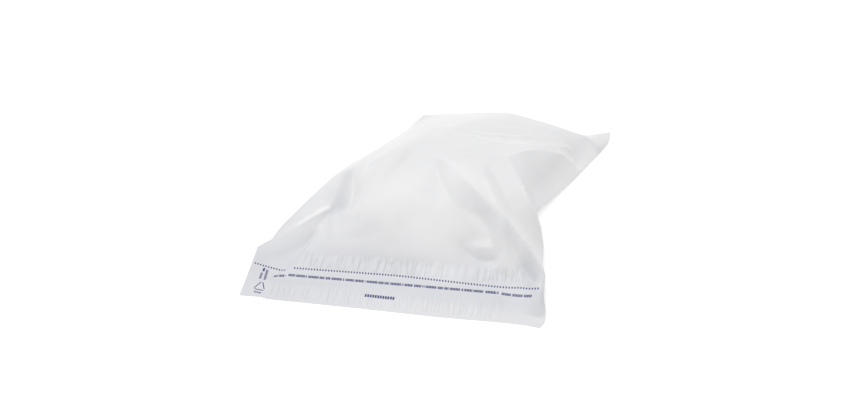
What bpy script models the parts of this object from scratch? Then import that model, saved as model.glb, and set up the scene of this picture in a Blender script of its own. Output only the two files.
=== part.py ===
import math

import bmesh
import bpy
import numpy as np

# Filled poly mailer: a closed bag of white film with soft goods inside, lying on its back.
# Its closing flap faces -Y, the welded bottom end faces +Y, and +Z is up.
# The film keeps the shape it took on when it was dropped: a raised filling, long creases,
# a pleat across the flap, two gathered bands, and a flat corner that sticks out on the right.

# Overall sizes, in metres
BAG_WIDTH = 0.318
BAG_LENGTH = 0.350
FILL_HEIGHT = 0.062

# Film and weld
FILM_EDGE = 0.001
SEAM_INSET = 0.014

# Gathered bands on the flap, where its two glue strips shrink the film: width and depth in metres
OUTER_BAND_WIDTH = 0.024
OUTER_BAND_RELIEF = 0.0009
INNER_BAND_WIDTH = 0.0205
INNER_BAND_RELIEF = 0.0013
GATHER_UNEVENNESS = 0.0007

# Film bulging out between the folds, as a rise per metre squared
FILL_PRESSURE = 5.0
FLAP_PRESSURE = 0.6

# Mesh of the upper film, and how often it is spread evenly, drawn tight and softened
COLUMNS = 66
FLAP_ROWS = 13
BODY_ROWS = 48
SPREAD_PASSES = 60
TIGHTEN_PASSES = 3000
SOFTEN_PASSES = 3

# The weld's lifted underside runs inwards, towards the film this many cells away
CELLS_INWARDS = 3

# One step of the fold lines: 318 steps across the flap, 350 steps along the bag, 62 steps up.
ACROSS = BAG_WIDTH / 318
ALONG = BAG_LENGTH / 350
UP = FILL_HEIGHT / 62

# Place of the gathered bands in the same steps: where each begins along the bag, its two ends
# across the bag, and the length over which it fades out at each end
OUTER_BAND_BEGINS = 0.5
OUTER_BAND_ENDS = (-128, 146)
OUTER_BAND_FADES = (14, 20)
INNER_BAND_BEGINS = 47.5
INNER_BAND_ENDS = (-104, 140)
INNER_BAND_FADES = (10, 16)

# The outer band lies flatter around this place across the bag, over this length to each side
FLATTER_PLACE = -5
FLATTER_LENGTH = 24
FLATTER_SHARE = 0.6

# Outline of the welded film, as steps across, along and up. The up value is the lift off the table.
NEAR_SIDE = [
    (-159, -1, 0), (-136, 0, 0), (-129, -2, 0), (-29, -1, 0),
    (55, -1, 0), (118, 1, 0), (143, 1, 0), (159, -1, 0),
]
LEFT_OF_FLAP = [(-159, -1, 0), (-157, 35, 4), (-157, 69, 5)]
RIGHT_OF_FLAP = [(159, -1, 0), (163, 7, 0.5), (163, 21, 5), (161, 34, 9), (159, 62, 15)]
LEFT_OF_BODY = [
    (-157, 69, 5), (-145, 83, 5), (-138, 107, 6), (-119, 150, 8), (-98, 190, 12),
    (-83, 218, 10), (-55, 260, 6), (-28, 303, 3), (-14, 336, 2),
]
RIGHT_OF_BODY = [
    (159, 62, 15), (155, 79, 14), (154, 112, 9), (149, 142, 10), (142, 169, 7),
    (182, 242, 1), (209, 294, 1), (219, 316, 2), (221, 335, 3),
]
FAR_SIDE = [
    (-14, 336, 2), (26, 345, 2), (69, 352, 4), (97, 348, 7),
    (150, 324, 7), (190, 323, 3), (221, 335, 3),
]
FLAP_LINE = [LEFT_OF_FLAP[-1], (0, 73, 5), RIGHT_OF_FLAP[-1]]

# Fold lines of the upper film. Each has a name, how much of it stays sharp, and its points.
FOLDS = [
    ("main_crease", 0.6, [
        (24, 188, 57.5), (27, 177, 53), (30, 166, 49.5), (38, 150, 45.5), (47, 136, 42), (57, 128, 39),
        (70, 125, 37), (83, 121, 34), (92, 114, 29), (97, 102, 23), (100, 90, 17), (105, 81, 10),
    ]),
    ("main_crease_brow", 0.4, [
        (27, 189, 59), (35, 184, 60), (47, 175, 59.5), (61, 156, 58.5), (74, 140, 56.5),
        (85, 127, 53.5), (95, 118, 49.5), (102, 112, 44.5), (107, 104, 37.5), (110, 93, 28),
        (114, 82, 20.5), (117, 71, 13.5), (120, 61, 7.5),
    ]),
    ("inner_ridge", 0.8, [
        (79, 176, 60.5), (85, 157, 59.5), (92, 142, 57), (99, 126, 53.5),
        (107, 115, 49.5), (115, 108, 45), (122, 101, 40.5), (129, 95, 36),
        (138, 87, 31), (146, 77, 25.5), (154, 68, 20.5), (158, 63, 17.5),
    ]),
    ("ridge_foot", 0.6, [(115, 103, 32), (121, 94, 21), (129, 82, 12), (138, 69, 7), (148, 55, 6)]),
    ("outer_crease", 0.7, [
        (83, 177, 58.5), (89, 169, 57), (96, 157, 53.5), (103, 146, 50.5), (110, 135, 47),
        (116, 125, 43), (124, 118, 39), (131, 110, 34), (139, 103, 28), (147, 97, 20),
    ]),
    ("right_brow", 0.9, [
        (104, 199, 61), (117, 173, 59), (128, 154, 54.5), (136, 136, 49),
        (142, 129, 43), (149, 121, 29), (153, 110, 15),
    ]),
    ("far_shoulder", 0.8, [
        (108, 203, 59), (121, 217, 55), (135, 232, 47), (164, 246, 33), (182, 250, 17),
    ]),
    ("far_band", 0.3, [(37, 257, 48), (90, 250, 46), (134, 255, 41), (170, 265, 29)]),
    ("far_crest", 0.7, [(76, 322, 27), (99, 316, 33), (144, 305, 31), (189, 301, 20), (212, 299, 4)]),
    ("far_left_edge", 0.8, [(-1, 277, 32), (28, 281, 36), (44, 294, 34), (70, 315, 29)]),
    ("corner_crease", 0.8, [(170, 280, 25), (177, 274, 17), (181, 263, 9), (183, 253, 4)]),
    ("ear_crease", 0.8, [(193, 307, 14), (203, 310, 8), (213, 311, 4)]),
    ("front_of_filling", 0.4, [
        (-35, 146, 42), (-21, 128, 40), (-10, 114, 35), (1, 102, 28), (9, 93, 23.5), (15, 88, 21.5),
    ]),
    ("tongue_end", 0.1, [
        (15, 88, 21.5), (30, 87, 21.5), (43, 91, 22.5),
        (63, 97, 24.5), (78, 106, 27), (91, 112, 28.5),
    ]),
    ("tongue_face", 0.2, [(66, 93, 20), (81, 98, 21.5), (96, 101, 22)]),
    ("hollow_brow", 0.2, [(-44, 167, 44), (-30, 187, 48.5), (-16, 207, 51.5)]),
    ("left_hollow", 0.3, [
        (-36, 147, 41.5), (-24, 169, 43.5), (-13, 184, 46), (-4, 200, 48.5), (5, 218, 51),
    ]),
    ("front_face", 0.1, [(-72, 88, 16), (-52, 87, 17.5), (-32, 88, 19.5)]),
    ("left_shoulder", 0.4, [(-64, 188, 37), (-44, 194, 42.5), (-26, 213, 47), (1, 254, 42)]),
    ("left_crease", 0.5, [(-75, 192, 19), (-69, 173, 17.5), (-66, 149, 16.5), (-68, 128, 16)]),
    ("left_crease_brow", 0.4, [(-57, 176, 36), (-50, 150, 38), (-48, 127, 36), (-53, 112, 31)]),
    ("left_lobe", 0.5, [(-82, 186, 22), (-83, 159, 25), (-85, 134, 25.5), (-87, 121, 24.5)]),
    ("left_ridge", 0.95, [
        (-87, 120, 24.5), (-103, 109, 20.5), (-115, 98, 16.5), (-130, 88, 12), (-149, 72, 5),
    ]),
    ("left_ridge_foot", 0.3, [
        (-92, 107, 17), (-100, 91, 11), (-110, 73, 6), (-124, 62, 3), (-144, 53, 2),
    ]),
    ("pleat_ridge", 0.95, [
        (-85, 117, 22), (-96, 88, 11), (-108, 51, 4.5),
        (-118, 38, 3.8), (-130, 26, 3.2), (-135, 4, 1.6),
    ]),
    ("pleat_foot", 0.8, [(-89, 113, 18), (-100, 87, 8), (-111, 53, 3), (-124, 40, 1), (-135, 27, 0.6)]),
    ("foot_of_filling", 0, [
        (-107, 60, 4.5), (-52, 60, 5.5), (24, 64, 5.5), (87, 66, 5.5), (111, 64, 6), (127, 56, 5.5),
    ]),
    ("dent_ridge", 0.7, [(66, 90, 15), (81, 89, 18.5), (99, 90, 19)]),
    ("dent_foot", 0.6, [(70, 89, 11), (84, 81, 8), (103, 81, 7.5)]),
    ("flap_right_brow", 0.6, [(158, 16, 5), (156, 30, 11), (155, 43, 14.5), (155, 55, 16)]),
    ("flap_right_foot", 0.8, [(117, 33, 2), (128, 21, 1), (141, 14, 0.6), (157, 13, 0.6)]),
]


def along_line(points, count):
    """Evenly spaced points along a line with corners, from its first point to its last, in metres."""
    line = np.array(points, float) * (ACROSS, ALONG, UP)
    steps = np.linalg.norm(np.diff(line, axis=0), axis=1)
    place = np.concatenate([[0.0], np.cumsum(steps)])
    wanted = np.linspace(0.0, place[-1], count)
    return np.stack([np.interp(wanted, place, line[:, k]) for k in range(3)], axis=1)


def patch_between(near, far, left, right):
    """Grid of points between four sides, rows running from near to far."""
    rows = len(left)
    columns = len(near)
    v = np.linspace(0, 1, rows)[:, None, None]
    u = np.linspace(0, 1, columns)[None, :, None]
    across = left[:, None] * (1 - u) + right[:, None] * u
    along = near[None] * (1 - v) + far[None] * v
    corners = (
        near[0] * (1 - u) * (1 - v)
        + near[-1] * u * (1 - v)
        + far[0] * (1 - u) * v
        + far[-1] * u * v
    )
    return across + along - corners


def film_outline_grid():
    """Flat layout of the upper film: flap rows, then body rows, all inside the welded outline."""
    near = along_line(NEAR_SIDE, COLUMNS + 1)
    far = along_line(FAR_SIDE, COLUMNS + 1)
    flap_line = along_line(FLAP_LINE, COLUMNS + 1)
    flap = patch_between(
        near,
        flap_line,
        along_line(LEFT_OF_FLAP, FLAP_ROWS + 1),
        along_line(RIGHT_OF_FLAP, FLAP_ROWS + 1),
    )
    body = patch_between(
        flap_line,
        far,
        along_line(LEFT_OF_BODY, BODY_ROWS + 1),
        along_line(RIGHT_OF_BODY, BODY_ROWS + 1),
    )
    grid = np.concatenate([flap, body[1:]])
    grid[:, :, 2] += FILM_EDGE
    return grid


def ring_mean(values):
    """Mean of the eight neighbours of each inner grid point, straight neighbours counting double."""
    straight = values[:-2, 1:-1] + values[2:, 1:-1] + values[1:-1, :-2] + values[1:-1, 2:]
    slanted = values[:-2, :-2] + values[:-2, 2:] + values[2:, :-2] + values[2:, 2:]
    return (2 * straight + slanted) / 12


def lay_folds(grid):
    """Moves a chain of grid points onto each fold line. Returns the held points and their sharpness."""
    held = np.zeros(grid.shape[:2], bool)
    sharpness = np.zeros(grid.shape[:2])
    inner = grid[1:-1, 1:-1, :2].copy()
    for _, sharp, points in FOLDS:
        places = along_line(points, int(math.dist(points[0], points[-1])) + 2)
        gaps = np.linalg.norm(inner[None] - places[:, None, None, :2], axis=3)
        nearest = [np.unravel_index(gap.argmin(), gap.shape) for gap in gaps]
        chain = []
        for point in nearest:
            if chain and point == chain[-1]:
                continue
            if len(chain) > 1 and max(abs(point[0] - chain[-2][0]), abs(point[1] - chain[-2][1])) < 2:
                chain.pop()
            chain.append(point)
        for row, column in chain:
            if not held[row + 1, column + 1]:
                grid[row + 1, column + 1] = places[gaps[:, row, column].argmin()]
                grid[row + 1, column + 1, 2] += FILM_EDGE
                held[row + 1, column + 1] = True
                sharpness[row + 1, column + 1] = sharp
    return held, sharpness


def stretch_film(grid, held, sharpness):
    """Film drawn tight between the folds and the welds, pushed out by the filling."""
    free = ~held[1:-1, 1:-1]
    for _ in range(SPREAD_PASSES):
        inner = grid[1:-1, 1:-1, :2]
        inner[free] = ring_mean(grid[:, :, :2])[free]
    rows = np.arange(grid.shape[0])[1:-1, None]
    pressure = np.where(rows > FLAP_ROWS + 1, FILL_PRESSURE, FLAP_PRESSURE)
    cell = np.linalg.norm(grid[2:, 1:-1, :2] - grid[:-2, 1:-1, :2], axis=2) / 2
    push = pressure * cell**2 * 0.3
    for _ in range(TIGHTEN_PASSES):
        inner = grid[1:-1, 1:-1, 2]
        inner[free] = (ring_mean(grid[:, :, 2]) + push)[free]
    soften = 0.6 * (1 - sharpness[1:-1, 1:-1, None])
    for _ in range(SOFTEN_PASSES):
        inner = grid[1:-1, 1:-1]
        inner += (ring_mean(grid) - inner) * soften


def band(points, begins, width, ends, fades):
    """1 on a gathered band and 0 off it, fading out along all its edges."""
    place = (points[:, :, 1] - begins * ALONG) / width
    lengthwise = np.clip(np.minimum(place, 1 - place) * 4, 0, 1)
    across = points[:, :, 0] / ACROSS
    left_end = np.clip((across - ends[0]) / fades[0], 0, 1)
    right_end = np.clip((ends[1] - across) / fades[1], 0, 1)
    return lengthwise * left_end * right_end


def gather_flap(grid):
    """The flap rows with twice the columns, gathered where the two glue strips shrink the film."""
    rows = grid[: FLAP_ROWS + 1]
    fine = np.zeros((rows.shape[0], 2 * COLUMNS + 1, 3))
    fine[:, ::2] = rows
    fine[:, 1::2] = (rows[:, :-1] + rows[:, 1:]) / 2
    column = np.arange(2 * COLUMNS + 1)
    ridge = np.cos(column * math.pi / 2)
    uneven = np.sin(column * 0.37) + np.sin(column * 0.83 + 1.2)
    strength = 0.72 + 0.28 * np.sin(column * 0.61) * np.sin(column * 0.17 + 0.5)
    outer = band(fine, OUTER_BAND_BEGINS, OUTER_BAND_WIDTH, OUTER_BAND_ENDS, OUTER_BAND_FADES)
    inner = band(fine, INNER_BAND_BEGINS, INNER_BAND_WIDTH, INNER_BAND_ENDS, INNER_BAND_FADES)
    from_flatter_place = (fine[:, :, 0] / ACROSS - FLATTER_PLACE) / FLATTER_LENGTH
    outer *= 1 - FLATTER_SHARE * np.exp(-(from_flatter_place**2))
    rise = ridge * strength * (outer * OUTER_BAND_RELIEF + inner * INNER_BAND_RELIEF)
    inside = np.zeros_like(rise)
    inside[1:, 1:-1] = 1
    fine[:, :, 2] = np.maximum(fine[:, :, 2] + rise * inside, 1.2 * FILM_EDGE * inside)
    fine[1:, 1:-1, 0] += (GATHER_UNEVENNESS * uneven)[1:-1] * np.maximum(outer, inner)[1:, 1:-1]
    return fine


def add_quads(mesh, grid_verts, held):
    """Faces of a grid, each split along the fold that crosses it, or else along its shorter diagonal."""
    for r in range(len(grid_verts) - 1):
        for c in range(len(grid_verts[0]) - 1):
            a, b = grid_verts[r][c], grid_verts[r][c + 1]
            d, e = grid_verts[r + 1][c], grid_verts[r + 1][c + 1]
            up_fold = held[r][c] and held[r + 1][c + 1]
            down_fold = held[r][c + 1] and held[r + 1][c]
            up_split = (a.co - e.co).length <= (b.co - d.co).length
            if up_fold != down_fold:
                up_split = up_fold
            if up_split:
                mesh.faces.new((a, b, e))
                mesh.faces.new((a, e, d))
            else:
                mesh.faces.new((a, b, d))
                mesh.faces.new((b, e, d))


def add_underside(mesh, outline):
    """Film edge going down by its thickness, the lifted weld, and the flat face the bag lies on."""
    count = len(outline)
    corners = [k for k in range(count) if outline[k][1]]
    lower = []
    floor = []
    for k, (vert, _, inward) in enumerate(outline):
        away = min(min((k - c) % count, (c - k) % count) for c in corners)
        step = (outline[(k + 1) % count][0].co - vert.co).length
        inset = min(SEAM_INSET, 0.5 * away * step + 0.001)
        edge = vert.co.copy()
        edge.z -= FILM_EDGE
        lower.append(mesh.verts.new(edge))
        floor.append(mesh.verts.new((edge.x + inward[0] * inset, edge.y + inward[1] * inset, 0.0)))
    for k in range(count):
        n = (k + 1) % count
        mesh.faces.new((outline[n][0], outline[k][0], lower[k], lower[n]))
        mesh.faces.new((lower[n], lower[k], floor[k], floor[n]))
    mesh.faces.new(list(reversed(floor)))


def edge_point(verts, points, place, inner, corner=False):
    """A point of the outline, whether it is a corner, and the level direction from it into the bag."""
    inward = points[inner][:2] - points[place][:2]
    return verts[place[0]][place[1]], corner, inward / max(np.linalg.norm(inward), 1e-9)


def build_bag():
    grid = film_outline_grid()
    held, sharpness = lay_folds(grid)
    stretch_film(grid, held, sharpness)
    flap = gather_flap(grid)
    body = grid[FLAP_ROWS:]
    lowest = np.minimum(grid[:, :, :2].min(axis=(0, 1)), flap[:, :, :2].min(axis=(0, 1)))
    highest = np.maximum(grid[:, :, :2].max(axis=(0, 1)), flap[:, :, :2].max(axis=(0, 1)))
    middle = (lowest + highest) / 2
    flap[:, :, :2] -= middle
    body[:, :, :2] -= middle

    mesh = bmesh.new()
    flap_verts = [[mesh.verts.new(p) for p in row] for row in flap]
    body_verts = [flap_verts[-1][::2]]
    body_verts += [[mesh.verts.new(p) for p in row] for row in body[1:]]
    flap_held = np.zeros(flap.shape[:2], bool)
    flap_held[:, ::2] = held[: FLAP_ROWS + 1]
    add_quads(mesh, flap_verts, flap_held)
    first = [body_verts[0], body_verts[1]]
    for c in range(COLUMNS):
        between = flap_verts[-1][2 * c + 1]
        mesh.faces.new((first[0][c], between, first[1][c]))
        mesh.faces.new((between, first[1][c + 1], first[1][c]))
        mesh.faces.new((between, first[0][c + 1], first[1][c + 1]))
    add_quads(mesh, body_verts[1:], held[FLAP_ROWS + 1 :])

    # Outline counter-clockwise from the near left corner, with the way inwards at each point
    outline = []
    m = CELLS_INWARDS
    right = 2 * COLUMNS
    for k in range(right + 1):
        inner = (m, min(max(k, m), right - m))
        outline.append(edge_point(flap_verts, flap, (0, k), inner, k in (0, right)))
    for k in range(1, FLAP_ROWS + 1):
        outline.append(edge_point(flap_verts, flap, (k, right), (max(k, m), right - 2 * m)))
    for k in range(1, BODY_ROWS):
        inner = (min(k, BODY_ROWS - m), COLUMNS - m)
        outline.append(edge_point(body_verts, body, (k, COLUMNS), inner))
    for k in range(COLUMNS, -1, -1):
        inner = (BODY_ROWS - m, min(max(k, m), COLUMNS - m))
        outline.append(edge_point(body_verts, body, (BODY_ROWS, k), inner, k in (0, COLUMNS)))
    for k in range(BODY_ROWS - 1, 0, -1):
        outline.append(edge_point(body_verts, body, (k, 0), (min(k, BODY_ROWS - m), m)))
    for k in range(FLAP_ROWS, 0, -1):
        outline.append(edge_point(flap_verts, flap, (k, 0), (max(k, m), 2 * m)))
    add_underside(mesh, outline)
    bmesh.ops.triangulate(mesh, faces=[f for f in mesh.faces if len(f.verts) == 4])
    bmesh.ops.recalc_face_normals(mesh, faces=mesh.faces)
    for face in mesh.faces:
        face.smooth = True
    data = bpy.data.meshes.new("mailer_bag")
    mesh.to_mesh(data)
    mesh.free()
    bag = bpy.data.objects.new("mailer_bag", data)
    bpy.context.scene.collection.objects.link(bag)
    return bag


def white_film():
    material = bpy.data.materials.new("white_film")
    material.use_nodes = True
    shader = material.node_tree.nodes["Principled BSDF"]
    shader.inputs["Base Color"].default_value = (0.86, 0.86, 0.88, 1)
    shader.inputs["Roughness"].default_value = 0.42
    shader.inputs["IOR"].default_value = 1.5
    return material


for thing in list(bpy.data.objects):
    bpy.data.objects.remove(thing, do_unlink=True)
build_bag().data.materials.append(white_film())
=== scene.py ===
import math

import bmesh
import bpy
import numpy as np
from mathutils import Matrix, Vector


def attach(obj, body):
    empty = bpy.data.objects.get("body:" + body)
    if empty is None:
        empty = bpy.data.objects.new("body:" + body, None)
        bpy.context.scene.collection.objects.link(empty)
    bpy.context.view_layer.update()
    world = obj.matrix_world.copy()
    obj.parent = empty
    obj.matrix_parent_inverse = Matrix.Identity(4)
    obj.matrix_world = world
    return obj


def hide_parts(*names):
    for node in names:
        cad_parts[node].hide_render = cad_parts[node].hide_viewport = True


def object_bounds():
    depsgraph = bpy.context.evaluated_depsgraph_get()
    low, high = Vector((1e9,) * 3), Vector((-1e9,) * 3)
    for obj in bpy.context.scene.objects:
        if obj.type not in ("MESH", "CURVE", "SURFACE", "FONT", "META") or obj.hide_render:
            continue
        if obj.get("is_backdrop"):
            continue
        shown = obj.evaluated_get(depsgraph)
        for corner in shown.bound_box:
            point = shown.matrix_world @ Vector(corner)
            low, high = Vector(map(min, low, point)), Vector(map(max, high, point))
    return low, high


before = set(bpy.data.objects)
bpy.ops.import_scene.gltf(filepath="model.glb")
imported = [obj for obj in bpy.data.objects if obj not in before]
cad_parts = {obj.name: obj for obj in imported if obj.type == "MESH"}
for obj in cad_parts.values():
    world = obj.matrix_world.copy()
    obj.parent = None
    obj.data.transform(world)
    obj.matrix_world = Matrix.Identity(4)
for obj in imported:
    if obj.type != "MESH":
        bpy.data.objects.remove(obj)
cad_low, cad_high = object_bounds()

# Camera
# The photograph looks over the flap from 1.3 m away, 41.6 degrees down and turned 8.5 degrees
# to the left.
down_angle = 41.6
left_angle = 8.5
view = bpy.data.cameras.new("camera")
view.sensor_width = 36
view.lens = 48.6
camera = bpy.data.objects.new("camera", view)
bpy.context.scene.collection.objects.link(camera)
camera.location = (0.1317, -0.9856, 0.8807)
camera.rotation_euler = (math.radians(90 - down_angle), 0, math.radians(left_angle))
bpy.context.scene.camera = camera
bpy.context.scene.view_settings.view_transform = "Standard"

# Light
# A soft room with one wide window high behind the bag and to its left: faces that lean back are
# brightest, and those that lean towards the camera or to the right are a little darker.
room_level = 0.7
window_level = 0.8
window_width = math.radians(40)
window_shines_to = Vector((0.3, -0.36, -0.88))


def lit_and_seen(tree, lit, seen):
    """Shader that is one thing to the light on its way to the bag, and another to a ray that looks.

    A ray looks when it comes straight from the camera, from a shine or through something clear.
    """
    path = tree.nodes.new("ShaderNodeLightPath")
    looks = path.outputs["Is Camera Ray"]
    for ray in ("Is Glossy Ray", "Is Transmission Ray"):
        either = tree.nodes.new("ShaderNodeMath")
        either.operation = "MAXIMUM"
        tree.links.new(looks, either.inputs[0])
        tree.links.new(path.outputs[ray], either.inputs[1])
        looks = either.outputs[0]
    choice = tree.nodes.new("ShaderNodeMixShader")
    tree.links.new(looks, choice.inputs["Fac"])
    tree.links.new(lit.outputs[0], choice.inputs[1])
    tree.links.new(seen.outputs[0], choice.inputs[2])
    return choice.outputs[0]


sky = bpy.data.worlds.new("sky")
bpy.context.scene.world = sky
sky.use_nodes = True
room = sky.node_tree.nodes["Background"]
room.inputs["Color"].default_value = (0.99, 0.99, 1, 1)
room.inputs["Strength"].default_value = room_level
wall = sky.node_tree.nodes.new("ShaderNodeBackground")
wall.inputs["Color"].default_value = (1, 1, 1, 1)
wall.inputs["Strength"].default_value = 1
sky_surface = sky.node_tree.nodes["World Output"].inputs["Surface"]
sky.node_tree.links.new(lit_and_seen(sky.node_tree, room, wall), sky_surface)

sun = bpy.data.lights.new("window", "SUN")
sun.energy = window_level
sun.angle = window_width
window = bpy.data.objects.new("window", sun)
bpy.context.scene.collection.objects.link(window)
window.rotation_euler = window_shines_to.to_track_quat("-Z", "Y").to_euler()

# Floor
# A seamless white table under the bag. It is plain white where it is looked at, and keeps the
# bag's own shadow.
table_reach = 6
table_drop = 0.0002
table_glow = 0.34
table_mesh = bmesh.new()
bmesh.ops.create_grid(table_mesh, x_segments=1, y_segments=1, size=table_reach)
table_data = bpy.data.meshes.new("table")
table_mesh.to_mesh(table_data)
table_mesh.free()
table = bpy.data.objects.new("table", table_data)
table.location.z = -table_drop
bpy.context.scene.collection.objects.link(table)

white = bpy.data.materials.new("table_white")
white.use_nodes = True
board = white.node_tree.nodes["Principled BSDF"]
board.inputs["Base Color"].default_value = (0.93, 0.93, 0.93, 1)
board.inputs["Roughness"].default_value = 1
board.inputs["Specular IOR Level"].default_value = 0
glow = white.node_tree.nodes.new("ShaderNodeEmission")
glow.inputs["Color"].default_value = (1, 1, 1, 1)
glow.inputs["Strength"].default_value = table_glow
no_glow = white.node_tree.nodes.new("ShaderNodeEmission")
no_glow.inputs["Strength"].default_value = 0
both = white.node_tree.nodes.new("ShaderNodeAddShader")
white.node_tree.links.new(board.outputs[0], both.inputs[0])
white.node_tree.links.new(lit_and_seen(white.node_tree, no_glow, glow), both.inputs[1])
white.node_tree.links.new(both.outputs[0], white.node_tree.nodes["Material Output"].inputs["Surface"])
table_data.materials.append(white)
table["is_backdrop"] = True

# Bag film
# White polyethylene film, 0.07 mm thick, welded along both sides and the far end, with its flap
# stuck down. It lies over soft goods, so it is drawn tight between a few long folds. The two glue
# strips inside the flap gather it into rows of small puckers.

# Its outline as it lies, in steps of a millimetre: across, along from the flap's edge, and up
step = 0.001
near_side = [
    (-159, -1, 0), (-136, 0, 0), (-129, -2, 0), (-29, -1, 0),
    (55, -1, 0), (118, 1, 0), (143, 1, 0), (159, -1, 0),
]
left_of_flap = [(-159, -1, 0), (-157, 35, 4), (-157, 69, 5)]
right_of_flap = [(159, -1, 0), (163, 7, 0.5), (163, 20, 5), (160, 34, 9), (159, 62, 15)]
left_of_body = [
    (-157, 69, 5), (-145, 83, 5), (-138, 107, 6), (-119, 150, 8), (-98, 190, 12),
    (-83, 218, 10), (-55, 260, 6), (-28, 303, 3), (-14, 336, 2),
]
right_of_body = [
    (159, 62, 15), (155, 79, 14), (154, 112, 9), (149, 142, 10), (142, 169, 7),
    (182, 242, 1), (209, 294, 1), (219, 316, 2), (221, 335, 3),
]
far_side = [
    (-14, 336, 2), (26, 345, 2), (69, 352, 4), (97, 348, 7),
    (150, 324, 7), (190, 323, 3), (221, 335, 3),
]
flap_line = [left_of_flap[-1], (0, 73, 5), right_of_flap[-1]]

# Its folds: how sharp each is, from 0 to 1, and the line that it follows
folds = {
    "main_crease": (0.6, [
        (24, 188, 57.5), (27, 177, 53), (30, 166, 49.5), (38, 150, 45.5), (47, 136, 42), (57, 128, 39),
        (70, 125, 37), (83, 121, 34), (92, 114, 29), (97, 102, 23), (100, 90, 17), (105, 81, 10),
    ]),
    "main_crease_brow": (0.4, [
        (27, 189, 59), (35, 184, 60), (47, 175, 59.5), (61, 156, 58.5), (74, 140, 56.5),
        (85, 127, 53.5), (95, 118, 49.5), (102, 112, 44.5), (107, 104, 37.5), (110, 93, 28),
        (114, 82, 20.5), (117, 71, 13.5), (120, 61, 7.5),
    ]),
    "inner_ridge": (0.8, [
        (79, 176, 60.5), (85, 157, 59.5), (92, 142, 57), (99, 126, 53.5),
        (107, 115, 49.5), (115, 108, 45), (122, 101, 40.5), (129, 95, 36),
        (138, 87, 31), (146, 77, 25.5), (154, 68, 20.5), (158, 63, 17.5),
    ]),
    "ridge_foot": (0.6, [(115, 103, 32), (121, 94, 21), (129, 82, 12), (138, 69, 7), (148, 55, 6)]),
    "outer_crease": (0.7, [
        (83, 177, 58.5), (89, 169, 57), (96, 157, 53.5), (103, 146, 50.5), (110, 135, 47),
        (116, 125, 43), (124, 118, 39), (131, 110, 34), (139, 103, 28), (147, 97, 20),
    ]),
    "right_brow": (0.9, [
        (104, 199, 61), (117, 173, 59), (128, 154, 54.5), (136, 136, 49),
        (142, 129, 43), (149, 121, 29), (153, 110, 15),
    ]),
    "far_shoulder": (0.8, [
        (108, 203, 59), (121, 217, 55), (135, 232, 47), (164, 246, 33), (182, 250, 17),
    ]),
    "far_band": (0.3, [(37, 257, 48), (90, 250, 46), (134, 255, 41), (170, 265, 29)]),
    "far_crest": (0.7, [(76, 322, 27), (99, 316, 33), (144, 305, 31), (189, 301, 20), (212, 299, 4)]),
    "far_left_edge": (0.8, [(-1, 277, 32), (28, 281, 36), (44, 294, 34), (70, 315, 29)]),
    "corner_crease": (0.8, [(170, 280, 25), (177, 274, 17), (181, 263, 9), (183, 253, 4)]),
    "ear_crease": (0.8, [(193, 307, 14), (203, 310, 8), (213, 311, 4)]),
    "front_of_filling": (0.7, [
        (-35, 146, 42), (-21, 128, 40), (-10, 114, 35), (1, 102, 28), (9, 93, 23.5), (15, 88, 21.5),
    ]),
    "tongue_end": (0.3, [
        (15, 88, 21.5), (30, 87, 21.5), (43, 91, 22.5),
        (63, 97, 24.5), (78, 106, 27), (91, 112, 28.5),
    ]),
    "tongue_face": (0.2, [(66, 93, 20), (81, 98, 21.5), (96, 101, 22)]),
    "hollow_brow": (0.2, [(-44, 167, 44), (-30, 187, 48.5), (-16, 207, 51.5)]),
    "left_hollow": (0.3, [
        (-36, 147, 41.5), (-24, 169, 43.5), (-13, 184, 46), (-4, 200, 48.5), (5, 218, 51),
    ]),
    "front_face": (0.1, [(-72, 88, 16), (-52, 87, 17.5), (-32, 88, 19.5)]),
    "left_shoulder": (0.3, [(-52, 192, 40), (-44, 196, 42.5), (-26, 213, 47), (1, 254, 42)]),
    "left_crease": (0.5, [(-75, 192, 19), (-69, 173, 17.5), (-66, 149, 16.5), (-68, 128, 16)]),
    "left_crease_brow": (0.4, [(-57, 176, 36), (-50, 150, 38), (-48, 127, 36), (-53, 112, 31)]),
    "left_lobe": (0.5, [(-82, 186, 22), (-83, 159, 25), (-85, 134, 25.5), (-87, 121, 24.5)]),
    "left_ridge": (0.95, [
        (-87, 120, 24.5), (-103, 109, 20.5), (-115, 98, 16.5), (-130, 88, 12), (-149, 72, 5),
    ]),
    "left_ridge_foot": (0.3, [
        (-92, 107, 17), (-100, 91, 11), (-110, 73, 6), (-124, 62, 3), (-144, 53, 2),
    ]),
    "pleat_ridge": (0.6, [
        (-85, 117, 22), (-96, 88, 11), (-108, 51, 4.5),
        (-118, 38, 3.8), (-130, 26, 3.2), (-135, 4, 1.6),
    ]),
    "pleat_foot": (0.8, [(-89, 113, 18), (-100, 87, 8), (-111, 53, 3), (-124, 40, 1), (-135, 27, 0.6)]),
    "foot_of_filling": (0, [
        (-107, 60, 4.5), (-52, 60, 5.5), (24, 64, 5.5), (87, 66, 5.5), (111, 64, 6), (127, 56, 5.5),
    ]),
    "dent_ridge": (0.7, [(66, 90, 15), (81, 89, 18.5), (99, 90, 19)]),
    "dent_foot": (0.6, [(70, 89, 11), (84, 81, 8), (103, 81, 7.5)]),
    "flap_right_brow": (0.6, [(158, 16, 5), (156, 30, 11), (155, 43, 14.5), (155, 55, 16)]),
    "flap_right_foot": (0.8, [(117, 33, 2), (128, 21, 1), (141, 14, 0.6), (157, 13, 0.6)]),
}
columns = 132
flap_rows = 28
body_rows = 98
edge_height = 0.0001
spread_passes = 200
tighten_passes = 6000
flap_push = 0.6
body_push = 5.0
push_share = 0.3
soften_passes = 3
most_softening = 0.6


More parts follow.
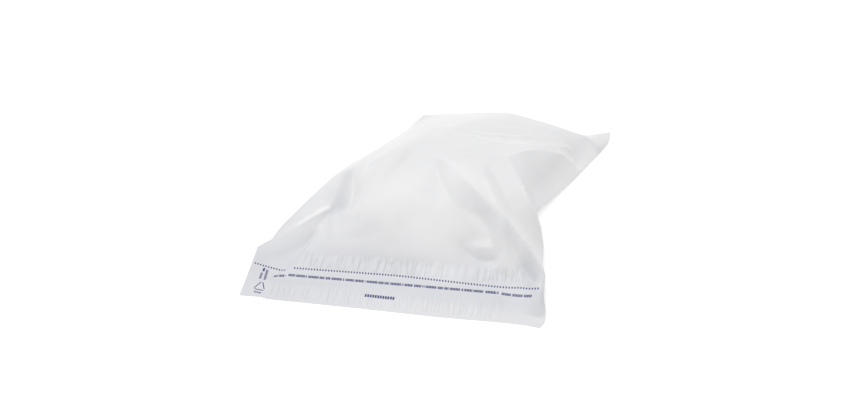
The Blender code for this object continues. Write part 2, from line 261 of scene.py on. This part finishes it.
def along_line(points, count):
    """Evenly spaced points along a line with corners."""
    line = np.array(points, float) * step
    place = np.concatenate([[0.0], np.cumsum(np.linalg.norm(np.diff(line, axis=0), axis=1))])
    wanted = np.linspace(0.0, place[-1], count)
    return np.stack([np.interp(wanted, place, line[:, k]) for k in range(3)], axis=1)


def patch_between(near, far, left, right):
    """Grid of points between four sides, rows running from near to far."""
    v = np.linspace(0, 1, len(left))[:, None, None]
    u = np.linspace(0, 1, len(near))[None, :, None]
    near_corners = near[0] * (1 - u) * (1 - v) + near[-1] * u * (1 - v)
    far_corners = far[0] * (1 - u) * v + far[-1] * u * v
    across = left[:, None] * (1 - u) + right[:, None] * u
    along = near[None] * (1 - v) + far[None] * v
    return across + along - near_corners - far_corners


def ring_mean(values):
    """Mean of the eight neighbours of each inner grid point, straight neighbours counting double."""
    straight = values[:-2, 1:-1] + values[2:, 1:-1] + values[1:-1, :-2] + values[1:-1, 2:]
    slanted = values[:-2, :-2] + values[:-2, 2:] + values[2:, :-2] + values[2:, 2:]
    return (2 * straight + slanted) / 12


mouth = along_line(flap_line, columns + 1)
flap = patch_between(
    along_line(near_side, columns + 1),
    mouth,
    along_line(left_of_flap, flap_rows + 1),
    along_line(right_of_flap, flap_rows + 1),
)
body = patch_between(
    mouth,
    along_line(far_side, columns + 1),
    along_line(left_of_body, body_rows + 1),
    along_line(right_of_body, body_rows + 1),
)
film = np.concatenate([flap, body[1:]])
film[:, :, 2] += edge_height

# A chain of grid points moves onto each fold line, and the film between the folds is spread
# evenly, drawn tight and pushed out a little by the filling.
held = np.zeros(film.shape[:2], bool)
sharpness = np.zeros(film.shape[:2])
inner = film[1:-1, 1:-1, :2].copy()
for sharp, points in folds.values():
    places = along_line(points, int(math.dist(points[0], points[-1])) * 2 + 2)
    gaps = np.linalg.norm(inner[None] - places[:, None, None, :2], axis=3)
    chain = []
    for gap in gaps:
        point = np.unravel_index(gap.argmin(), gap.shape)
        if chain and point == chain[-1]:
            continue
        if len(chain) > 1 and max(abs(point[0] - chain[-2][0]), abs(point[1] - chain[-2][1])) < 2:
            chain.pop()
        chain.append(point)
    for row, column in chain:
        if not held[row + 1, column + 1]:
            film[row + 1, column + 1] = places[gaps[:, row, column].argmin()]
            film[row + 1, column + 1, 2] += edge_height
            held[row + 1, column + 1] = True
            sharpness[row + 1, column + 1] = sharp
free = ~held[1:-1, 1:-1]
for _ in range(spread_passes):
    film[1:-1, 1:-1, :2][free] = ring_mean(film[:, :, :2])[free]
on_body = np.arange(film.shape[0])[1:-1, None] > flap_rows + 2
cell = np.linalg.norm(film[2:, 1:-1, :2] - film[:-2, 1:-1, :2], axis=2) / 2
push = np.where(on_body, body_push, flap_push) * cell**2 * push_share
for _ in range(tighten_passes):
    film[1:-1, 1:-1, 2][free] = (ring_mean(film[:, :, 2]) + push)[free]
soften = most_softening * (1 - sharpness[1:-1, 1:-1, None])
for _ in range(soften_passes):
    film[1:-1, 1:-1] += (ring_mean(film) - film[1:-1, 1:-1]) * soften
layout = film[:, :, :2].copy()
film_middle = (film[:, :, :2].min(axis=(0, 1)) + film[:, :, :2].max(axis=(0, 1))) / 2
cad_middle = Vector(((cad_low.x + cad_high.x) / 2, (cad_low.y + cad_high.y) / 2))
film[:, :, :2] += cad_middle - Vector(film_middle)

# The film is a little too large for the shape it is held in, so it buckles into fine creases.
# It is held firmly at its welds, less on the flap and at its folds, and hardly at all elsewhere.
cloth_frames = 20
body_grip = 0.12
flap_grip = 0.5
fold_grip = 0.6
most_buckle = 0.0010
buckle_soften_passes = 6
rows = film.shape[0] - 1
sheet = bmesh.new()
bmesh.ops.create_grid(sheet, x_segments=columns, y_segments=rows, size=0.5)
order = np.zeros(film.shape[:2], int)
sheet.verts.index_update()
for vert in sheet.verts:
    r, c = round((vert.co.y + 0.5) * rows), round((vert.co.x + 0.5) * columns)
    order[r, c] = vert.index
    vert.co = film[r, c]
sheet_data = bpy.data.meshes.new("film_sheet")
sheet.to_mesh(sheet_data)
sheet.free()
sagging = bpy.data.objects.new("film_sheet", sheet_data)
bpy.context.scene.collection.objects.link(sagging)
hold = sagging.vertex_groups.new(name="hold")
grip = np.full(film.shape[:2], body_grip)
grip[: flap_rows + 1] = flap_grip
grip[held] = fold_grip
grip[:2] = grip[-2:] = 1
grip[:, :2] = grip[:, -2:] = 1
for r in range(rows + 1):
    for c in range(columns + 1):
        hold.add([int(order[r, c])], float(grip[r, c]), "REPLACE")
cloth = sagging.modifiers.new("cloth", "CLOTH")
cloth.settings.vertex_group_mass = "hold"
cloth.settings.pin_stiffness = 1
cloth.settings.quality = 6
cloth.settings.mass = 0.02
cloth.settings.tension_stiffness = 30
cloth.settings.compression_stiffness = 30
cloth.settings.shear_stiffness = 20
cloth.settings.bending_stiffness = 5
cloth.settings.shrink_min = -0.004
cloth.settings.effector_weights.gravity = 0
cloth.point_cache.frame_end = cloth_frames
for number in range(1, cloth_frames + 1):
    bpy.context.scene.frame_set(number)
graph = bpy.context.evaluated_depsgraph_get()
settled = sagging.evaluated_get(graph).to_mesh()
found = np.zeros(3 * len(settled.vertices))
settled.vertices.foreach_get("co", found)
move = found.reshape(-1, 3)[order] - film
for _ in range(buckle_soften_passes):
    move[1:-1, 1:-1] = ring_mean(move)
size = np.linalg.norm(move, axis=2, keepdims=True)
film += move * np.minimum(1, most_buckle / np.maximum(size, 1e-9))
bpy.context.scene.frame_set(1)
bpy.data.objects.remove(sagging, do_unlink=True)


def smoother(values):
    """Twice as many grid points each way, the new ones on a smooth curve through the old."""
    for _ in range(2):
        ends = np.concatenate([2 * values[:1] - values[1:2], values, 2 * values[-1:] - values[-2:-1]])
        middle = (9 * (ends[1:-2] + ends[2:-1]) - ends[:-3] - ends[3:]) / 16
        finer = np.zeros((2 * len(values) - 1, *values.shape[1:]))
        finer[::2] = values
        finer[1::2] = middle
        values = finer.swapaxes(0, 1)
    return values


fine_soften_passes = 2
fine_softening = 0.5
film = smoother(film)
layout = smoother(layout)
for _ in range(fine_soften_passes):
    film[1:-1, 1:-1] += (ring_mean(film) - film[1:-1, 1:-1]) * fine_softening
rows, columns = film.shape[0] - 1, film.shape[1] - 1
x, y = layout[:, :, 0] / step, layout[:, :, 1] / step


# Puckers over the glue strips, in steps. Each has a width, a near and a far end, a lean and a
# height that vary between two limits, and they widen towards the bag's right side.
width_varies = (0.65, 1.35)
near_end_varies = (-1.5, 2.5)
far_end_varies = (-3.5, 1.5)
lean_varies = (-0.05, 0.17)
height_varies = (0.35, 1.0)
widening = 0.014
pucker_roundness = 0.33
near_taper = 3.5
far_taper = 4.5


def band_of_puckers(seed, ends, pitch, near, far, height):
    """Short rounded folds side by side over one glue strip.

    The band runs between its two ends across the bag. Its near and far edges are each given as the
    distance from the flap's edge at its left end, and how much that grows for each step across.
    """
    choice = np.random.default_rng(seed)
    rise = np.zeros_like(x)
    place = start = ends[0]
    while place < ends[1]:
        width = (pitch + widening * (place - start)) * choice.uniform(*width_varies)
        low = near[0] + near[1] * (place - start) + choice.uniform(*near_end_varies)
        high = far[0] + far[1] * (place - start) + choice.uniform(*far_end_varies)
        lean = choice.uniform(*lean_varies)
        across = (x - place - lean * (y - (low + high) / 2)) / (width * pucker_roundness)
        along = np.clip((y - low) / near_taper, 0, 1) * np.clip((high - y) / far_taper, 0, 1)
        along = along * along * (3 - 2 * along)
        rise += choice.uniform(*height_varies) * height * np.exp(-(across**2)) * along
        place += width
    return rise


inner_strip = band_of_puckers(3, (-102, 140), 7.4, (46.552, 0.026), (64.1, 0.05), 1.2)
outer_strip = band_of_puckers(8, (-127, 118), 6.4, (1.484, 0.008), (20.448, 0.026), 0.75)
flatter_place, flatter_reach, flatter_share = -13, 21, 0.75
outer_strip *= 1 - flatter_share * np.exp(-(((x - flatter_place) / flatter_reach) ** 4))
film[:, :, 2] += (inner_strip + outer_strip) * step

# Long soft folds, each with its height, its half width and its line: wrinkles pulled towards the
# far right corner, the hollow under the print, and the crests of the left ridge and the pleat.
# Each fades in over its first quarter and out over its last.
soft_folds = [
    (0.8, 2.4, [(45, 257), (64, 251), (90, 252), (113, 256), (137, 265)]),
    (0.9, 2.4, [(51, 241), (71, 236), (83, 231), (100, 232), (127, 244)]),
    (0.5, 2.4, [(65, 270), (88, 270), (136, 277)]),
    (0.25, 3.0, [(90, 290), (130, 290), (165, 292)]),
    (-0.7, 3.5, [(-134, 15), (-120, 22), (-99, 26), (-67, 28)]),
    (1.1, 3.2, [(-80, 127), (-88, 121), (-103, 112), (-116, 102), (-134, 88)]),
    (0.7, 2.0, [(-86, 116), (-96, 92), (-106, 62), (-113, 46)]),
]
pull = np.zeros_like(x)
for high, wide, points in soft_folds:
    line = along_line([(*p, 0) for p in points], 60)[:, :2] / step
    off = np.hypot(x[..., None] - line[:, 0], y[..., None] - line[:, 1])
    t = off.argmin(axis=2) / 59
    fade = np.clip(t * 4, 0, 1) * np.clip((1 - t) * 4, 0, 1)
    pull += high * fade * np.exp(-((off.min(axis=2) / wide) ** 2))
film[:, :, 2] += pull * step

# The upper film, its welded rim, and the underside that lifts off the table towards the weld
rim_depth = 0.0005
least_inset = 0.001
inset_growth = 0.0006
most_inset = 0.014
bag_mesh = bmesh.new()
bmesh.ops.create_grid(bag_mesh, x_segments=columns, y_segments=rows, size=0.5)
spots = {}
flat_place = {}
for vert in bag_mesh.verts:
    r, c = round((vert.co.y + 0.5) * rows), round((vert.co.x + 0.5) * columns)
    spots[vert] = (r, c)
for vert, (r, c) in spots.items():
    vert.co = film[r, c]
    flat_place[vert] = (float(x[r, c]), float(y[r, c]))


def inwards(r, c, reach=12):
    """Level direction from a point of the outline into the bag, and its distance from a corner."""
    to = film[min(max(r, reach), rows - reach), min(max(c, reach), columns - reach), :2] - film[r, c, :2]
    return to / max(np.linalg.norm(to), 1e-9), min(r, rows - r) + min(c, columns - c)


rim = [e for e in bag_mesh.edges if e.is_boundary]
for rim_edge in rim:
    rim_edge.smooth = False
film_points = set(spots)
lower_rim = bmesh.ops.extrude_edge_only(bag_mesh, edges=rim)["geom"]
for vert in [v for v in lower_rim if isinstance(v, bmesh.types.BMVert)]:
    above = next(e.other_vert(vert) for e in vert.link_edges if e.other_vert(vert) in film_points)
    flat_place[vert] = flat_place[above]
    spots[vert] = spots[above]
    vert.co = (above.co.x, above.co.y, max(above.co.z - rim_depth, 0))
rim = [e for e in bag_mesh.edges if e.is_boundary]
floor_rim = bmesh.ops.extrude_edge_only(bag_mesh, edges=rim)["geom"]
for vert in [v for v in floor_rim if isinstance(v, bmesh.types.BMVert)]:
    above = next(e.other_vert(vert) for e in vert.link_edges if e.other_vert(vert) in spots)
    way, corner = inwards(*spots[above])
    inset = min(most_inset, inset_growth * corner + least_inset)
    flat_place[vert] = flat_place[above]
    vert.co = (above.co.x + way[0] * inset, above.co.y + way[1] * inset, 0.0)
bmesh.ops.contextual_create(bag_mesh, geom=[e for e in bag_mesh.edges if e.is_boundary])
bmesh.ops.triangulate(bag_mesh, faces=[f for f in bag_mesh.faces if len(f.verts) > 4])
bmesh.ops.recalc_face_normals(bag_mesh, faces=bag_mesh.faces)

# The UV map holds each point's place on the film in millimetres: 500 across, from -200 and -50
map_size = 500
map_left, map_near = -200, -50
film_map = bag_mesh.loops.layers.uv.new("film")
for face in bag_mesh.faces:
    face.smooth = True
    for loop in face.loops:
        across, along = flat_place[loop.vert]
        loop[film_map].uv = ((across - map_left) / map_size, (along - map_near) / map_size)
bag_data = bpy.data.meshes.new("bag_film")
bag_mesh.to_mesh(bag_data)
bag_mesh.free()
bag = bpy.data.objects.new("bag_film", bag_data)
bpy.context.scene.collection.objects.link(bag)

# White satin film with dark blue print, with painted shade, painted light and painted highlights
film_white = (0.86, 0.862, 0.87, 1)
film_whitest = (0.885, 0.885, 0.885, 1)
free_film_and_shade_grey = (0.73, 0.737, 0.77, 1)
hollow_shade_grey = (0.64, 0.65, 0.69, 1)
highlight_white = (0.97, 0.97, 0.975, 1)
print_blue = (0.005, 0.022, 0.15, 1)
free_film_shade_share = 0.35
hollow_shade_share = 0.6
highlight_share = 0.75
ink_share = 0.97
ripple_share = 0.16
drawn_share = 0.05
least_rough = 0.33
rough_varies = 0.14
coat = bpy.data.materials.new("white_film_print")
coat.use_nodes = True
coat_tree = coat.node_tree


def fill_socket(tree, socket, value):
    """Link a node's output to a socket, or set the socket to a plain value."""
    if hasattr(value, "is_linked"):
        tree.links.new(value, socket)
    else:
        socket.default_value = value


def worked_out(tree, operation, *values, clamp=False):
    """Output of a Math node."""
    sum_node = tree.nodes.new("ShaderNodeMath")
    sum_node.operation = operation
    sum_node.use_clamp = clamp
    for socket, value in zip(sum_node.inputs, values):
        fill_socket(tree, socket, value)
    return sum_node.outputs[0]


def vector_worked_out(tree, operation, first, second=None):
    """Output of a Vector Math node: a number for a dot product or a length, and else a vector."""
    vector_node = tree.nodes.new("ShaderNodeVectorMath")
    vector_node.operation = operation
    tree.links.new(first, vector_node.inputs[0])
    if second is not None:
        tree.links.new(second, vector_node.inputs[3 if operation == "SCALE" else 1])
    return vector_node.outputs["Value" if operation in ("DOT_PRODUCT", "LENGTH") else "Vector"]


# A printed bar: 1 within half a width of the line from one end to the other, and 0 outside
bar = bpy.data.node_groups.new("printed_bar", "ShaderNodeTree")
for socket_name in ("Place", "Start", "End"):
    bar.interface.new_socket(socket_name, in_out="INPUT", socket_type="NodeSocketVector")
for socket_name in ("Width", "Crispness"):
    bar.interface.new_socket(socket_name, in_out="INPUT", socket_type="NodeSocketFloat")
for socket_name in ("Mask", "Along"):
    bar.interface.new_socket(socket_name, in_out="OUTPUT", socket_type="NodeSocketFloat")
given = bar.nodes.new("NodeGroupInput").outputs
result = bar.nodes.new("NodeGroupOutput").inputs
run = vector_worked_out(bar, "SUBTRACT", given["End"], given["Start"])
from_start = vector_worked_out(bar, "SUBTRACT", given["Place"], given["Start"])
run_squared = vector_worked_out(bar, "DOT_PRODUCT", run, run)
share = worked_out(
    bar, "DIVIDE", vector_worked_out(bar, "DOT_PRODUCT", from_start, run), run_squared, clamp=True
)
nearest = vector_worked_out(bar, "SCALE", run, share)
to_line = vector_worked_out(bar, "SUBTRACT", from_start, nearest)
distance = vector_worked_out(bar, "LENGTH", to_line)
inside = worked_out(bar, "SUBTRACT", worked_out(bar, "MULTIPLY", given["Width"], 0.5), distance)
crisp_inside = worked_out(bar, "MULTIPLY", inside, given["Crispness"])
bar.links.new(worked_out(bar, "ADD", crisp_inside, 0.5, clamp=True), result["Mask"])
bar.links.new(worked_out(bar, "MULTIPLY", share, vector_worked_out(bar, "LENGTH", run)), result["Along"])


def coat_node(kind, inputs, **settings):
    """New node of the film's material, its settings made before its inputs are filled."""
    new_node = coat_tree.nodes.new(kind)
    for setting, value in settings.items():
        setattr(new_node, setting, value)
    for socket_name, value in inputs.items():
        fill_socket(coat_tree, new_node.inputs[socket_name], value)
    return new_node


def coat_math(operation, *values):
    """Output of a Math node in the film's material."""
    return worked_out(coat_tree, operation, *values)


def ramp(value, low_end, high_end):
    """0 at one end of a range, 1 at the other, and a soft slope between."""
    ends = {"Value": value, "From Min": low_end, "From Max": high_end}
    return coat_node("ShaderNodeMapRange", ends, interpolation_type="SMOOTHSTEP").outputs[0]


def blend(amount, first, second):
    """Colour between two others."""
    colours = {"Factor": amount, "A": first, "B": second}
    return coat_node("ShaderNodeMix", colours, data_type="RGBA").outputs["Result"]


film_place = coat_tree.nodes.new("ShaderNodeVectorMath")
film_place.operation = "MULTIPLY_ADD"
coat_tree.links.new(coat_node("ShaderNodeUVMap", {}, uv_map="film").outputs[0], film_place.inputs[0])
film_place.inputs[1].default_value = (map_size, map_size, 0)
film_place.inputs[2].default_value = (map_left, map_near, 0)
place = film_place.outputs[0]


def printed(start, end, width, crispness=4):
    """Mask of one bar, and the distance along it in millimetres."""
    line = {"Place": place, "Start": (*start, 0), "End": (*end, 0), "Width": width}
    bar_node = coat_node("ShaderNodeGroup", {**line, "Crispness": crispness}, node_tree=bar)
    return bar_node.outputs["Mask"], bar_node.outputs["Along"]


def broken(bar_and_run, *gaps):
    """A bar with regular gaps: each is (spacing, share left printed, offset)."""
    shape, run_along = bar_and_run
    for spacing, kept, offset in gaps:
        turn = coat_math("FRACT", coat_math("MULTIPLY_ADD", run_along, 1 / spacing, offset))
        shape = coat_math("MULTIPLY", shape, coat_math("LESS_THAN", turn, kept))
    return shape


def strongest(masks):
    """Greatest of several masks."""
    greatest = masks[0]
    for mask in masks[1:]:
        greatest = coat_math("MAXIMUM", greatest, mask)
    return greatest


def soft_areas(*areas):
    """Soft long areas of the film together, each (start, end, width, crispness, strength)."""
    return strongest([
        coat_math("MULTIPLY", printed(start, end, width, crispness)[0], strength)
        for start, end, width, crispness, strength in areas
    ])


# The dashes of the tear line, which run on from one bar to the next
dash = 3.09
tear_line = [
    broken(printed((-155, 45.2), (-118.6, 39.7), 2.3), (dash, 0.5, 0.7)),
    broken(printed((-111.5, 43.4), (4, 48.0), 2.5), (dash, 0.48, 0.5)),
    broken(printed((4, 48.0), (134, 47.0), 2.5), (dash, 0.48, 0.908)),
    broken(printed((134, 47.0), (154.5, 42.4), 2.5), (dash, 0.48, 0.981)),
]

# Small print as broken bars, with wider gaps now and then
small = 1.7
small_print = [
    broken(printed((-129.5, 29.4), (-116.1, 31.4), 3.3), (small, 0.8, 0.85), (7.3, 0.84, 0.2)),
    broken(
        printed((-114, 33.0), (112.2, 39.2), 3.4),
        (small, 0.8, 0.85), (12.7, 0.92, 0.3), (21.3, 0.96, 0.1), (83.0, 0.985, 0.25),
    ),
    broken(printed((115, 38.8), (147.2, 34.9), 3.2), (small, 0.78, 0.8), (12.7, 0.9, 0.1)),
    broken(printed((-28, 16.6), (4.5, 16.6), 3.9), (2.7, 0.74, 0.75)),
]

# Two captions up the left edge, with an open triangle and a short bar below them
captions = [
    printed((-142.1, 36.4), (-142.1, 39.2), 2.4)[0],
    broken(printed((-143.0, 33.4), (-143.0, 24.3), 2.5), (1.5, 0.72, 0.75)),
    broken(printed((-138.3, 38.6), (-137.9, 23.5), 2.5), (1.5, 0.72, 0.75)),
    printed((-140.6, 19.4), (-145.6, 11.0), 1.1)[0],
    printed((-144.6, 9.4), (-135.6, 8.0), 1.1)[0],
    printed((-134.8, 10.4), (-138.4, 19.0), 1.1)[0],
    broken(printed((-145.2, 5.9), (-136.8, 4.5), 1.9), (small, 0.7, 0.75)),
]
ink = strongest(tear_line + small_print + captions)

# The film is paler high up, at the rear, along the near edge and along the right weld, and greyer where
# it stands low and free. This is partly the real grey of thin film with nothing white behind it, and
# partly painted shade low down and painted light on the near edge and the right weld.
where = coat_tree.nodes.new("ShaderNodeTexCoord").outputs["Object"]
height_up = coat_node("ShaderNodeSeparateXYZ", {"Vector": where}).outputs["Z"]
across_film = coat_node("ShaderNodeSeparateXYZ", {"Vector": place})
from_left, from_flap = across_film.outputs["X"], across_film.outputs["Y"]
near_edge = coat_math("MULTIPLY", ramp(from_flap, 30, 8), ramp(from_left, -190, 80))
backing_and_painted_light = strongest([
    ramp(height_up, 0.002, 0.017),
    coat_math("MULTIPLY", ramp(from_flap, 220, 280), ramp(from_left, 260, 90)),
    coat_math("MULTIPLY", near_edge, 0.55),
    coat_math("MULTIPLY", ramp(from_flap, 125, 160), ramp(from_left, 120, 150)),
])
# Painted shade: soft areas on the front-left face, the left strip and beside the left creases make the
# film greyer still
free_film_shade = soft_areas(
    ((-112, 76), (-42, 80), 38, 0.035, 1),
    ((-126, 104), (-87, 185), 22, 0.06, 1),
    ((-96, 162), (-71, 104), 22, 0.07, 1.3),
    ((-84, 126), (-80, 88), 14, 0.09, 1.8),
)
backing_and_painted_light = coat_math("MULTIPLY", backing_and_painted_light, coat_math("MULTIPLY_ADD", free_film_shade, -free_film_shade_share, 1.0))

# Painted shade in the deep hollows of the flap and the pleat, and along the left crease
painted_hollow_shade = soft_areas(
    ((137, 76), (154, 55), 13, 0.08, 1),
    ((143, 49), (158, 30), 15, 0.07, 1),
    ((-80, 192), (-77, 131), 12, 0.12, 0.5),
    ((-128, 23), (-50, 27), 6, 0.2, 0.5),
    ((-146, 62), (-120, 57), 20, 0.06, 0.3),
)

# Painted highlights along the crests of the sharp folds first, then painted light on the wide tight
# faces and along the right weld
painted_highlights = soft_areas(
    ((-89, 122), (-117, 101), 4.5, 0.3, 1),
    ((-91, 123), (-98, 118), 8, 0.2, 1),
    ((66, 238), (100, 232), 3, 0.4, 1),
    ((101, 232), (124, 242), 3, 0.4, 1),
    ((68, 253), (112, 258), 2.6, 0.4, 0.6),
    ((50, 168), (40, 112), 42, 0.04, 0.42),
    ((0, 138), (48, 74), 46, 0.03, 0.45),
    ((86, 152), (108, 112), 14, 0.1, 0.55),
    ((70, 126), (94, 108), 16, 0.08, 0.55),
    ((117, 112), (132, 96), 12, 0.1, 0.6),
    ((148, 176), (200, 284), 18, 0.09, 1.3),
)
cloud_texture = {"Vector": where, "Scale": 26.0, "Detail": 3.0, "Roughness": 0.55}
cloudy = coat_node("ShaderNodeTexNoise", cloud_texture).outputs["Fac"]
# Film tone with painted shade and painted light, then painted hollow shade, painted highlights and the
# print
film_colour = blend(backing_and_painted_light, free_film_and_shade_grey, blend(cloudy, film_white, film_whitest))
film_colour = blend(coat_math("MULTIPLY", painted_hollow_shade, hollow_shade_share), film_colour, hollow_shade_grey)
film_colour = blend(coat_math("MULTIPLY", painted_highlights, highlight_share), film_colour, highlight_white)
film_colour = blend(coat_math("MULTIPLY", ink, ink_share), film_colour, print_blue)

# Fine crumple, ripples and the lines along which the film was drawn
crumple_texture = {
    "Vector": where, "Scale": 75.0, "Detail": 5.0, "Roughness": 0.6, "Distortion": 0.8,
}
crumple = coat_node("ShaderNodeTexNoise", crumple_texture).outputs["Fac"]
ripple_texture = {"Vector": where, "Scale": 240.0, "Detail": 2.0, "Roughness": 0.5}
ripple = coat_node("ShaderNodeTexNoise", ripple_texture).outputs["Fac"]
drawn_place = coat_node("ShaderNodeMapping", {"Vector": where, "Scale": (700, 14, 14)}).outputs[0]
drawn_texture = {"Vector": drawn_place, "Scale": 1.0, "Detail": 1.0}
drawn_lines = coat_node("ShaderNodeTexNoise", drawn_texture).outputs["Fac"]
relief = coat_math("MULTIPLY_ADD", crumple, 1.0, coat_math("MULTIPLY", ripple, ripple_share))
relief = coat_math("MULTIPLY_ADD", drawn_lines, drawn_share, relief)
fine_relief = coat_node("ShaderNodeBump", {"Height": relief, "Strength": 0.2, "Distance": 0.0008})

# Over each glue strip narrow grooves run across the strip and taper off beside it.
# Each strip: near and far edge, slant, its two ends and how deep its grooves are
glue_strips = [
    (49, 69, 0.04, -106, 143, 0.4),
    (3, 24, 0.017, -129, 121, 0.22),
]
groove_lay = {"Vector": place, "Rotation": (0, 0, math.radians(4)), "Scale": (0.16, 0.018, 1)}
groove_place = coat_node("ShaderNodeMapping", groove_lay).outputs[0]
groove_texture = {"Vector": groove_place, "Scale": 1.0, "Detail": 0.0, "Roughness": 0.5}
gathered = coat_node("ShaderNodeTexNoise", groove_texture).outputs["Fac"]
groove = ramp(coat_math("ABSOLUTE", coat_math("SUBTRACT", gathered, 0.5)), 0.1, 0)
over_strips = 0.0
for strip_near, strip_far, slant, strip_left, strip_right, depth in glue_strips:
    level = coat_math("MULTIPLY_ADD", from_left, -slant, from_flap)
    near_slope = ramp(level, strip_near - 3, strip_near + 3)
    strip = coat_math("MULTIPLY", near_slope, ramp(level, strip_far + 3, strip_far - 6))
    left_slope = ramp(from_left, strip_left, strip_left + 12)
    reach = coat_math("MULTIPLY", left_slope, ramp(from_left, strip_right, strip_right - 12))
    strip_depth = coat_math("MULTIPLY", coat_math("MULTIPLY", strip, reach), depth)
    over_strips = coat_math("ADD", over_strips, strip_depth)
groove_height = coat_math("MULTIPLY", coat_math("MULTIPLY", groove, over_strips), -1.0)
gathers = coat_node("ShaderNodeBump", {
    "Height": groove_height, "Strength": 1.0, "Distance": 0.001, "Normal": fine_relief.outputs["Normal"],
})

film_shader = coat_tree.nodes["Principled BSDF"]
film_finish = {
    "Base Color": film_colour,
    "Roughness": coat_math("MULTIPLY_ADD", cloudy, rough_varies, least_rough),
    "Normal": gathers.outputs["Normal"],
    "IOR": 1.5,
    "Specular IOR Level": 0.45,
}
for socket_name, value in film_finish.items():
    fill_socket(coat_tree, film_shader.inputs[socket_name], value)
bag_data.materials.append(coat)

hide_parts("mailer_bag")
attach(bag, "root")

low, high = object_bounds()
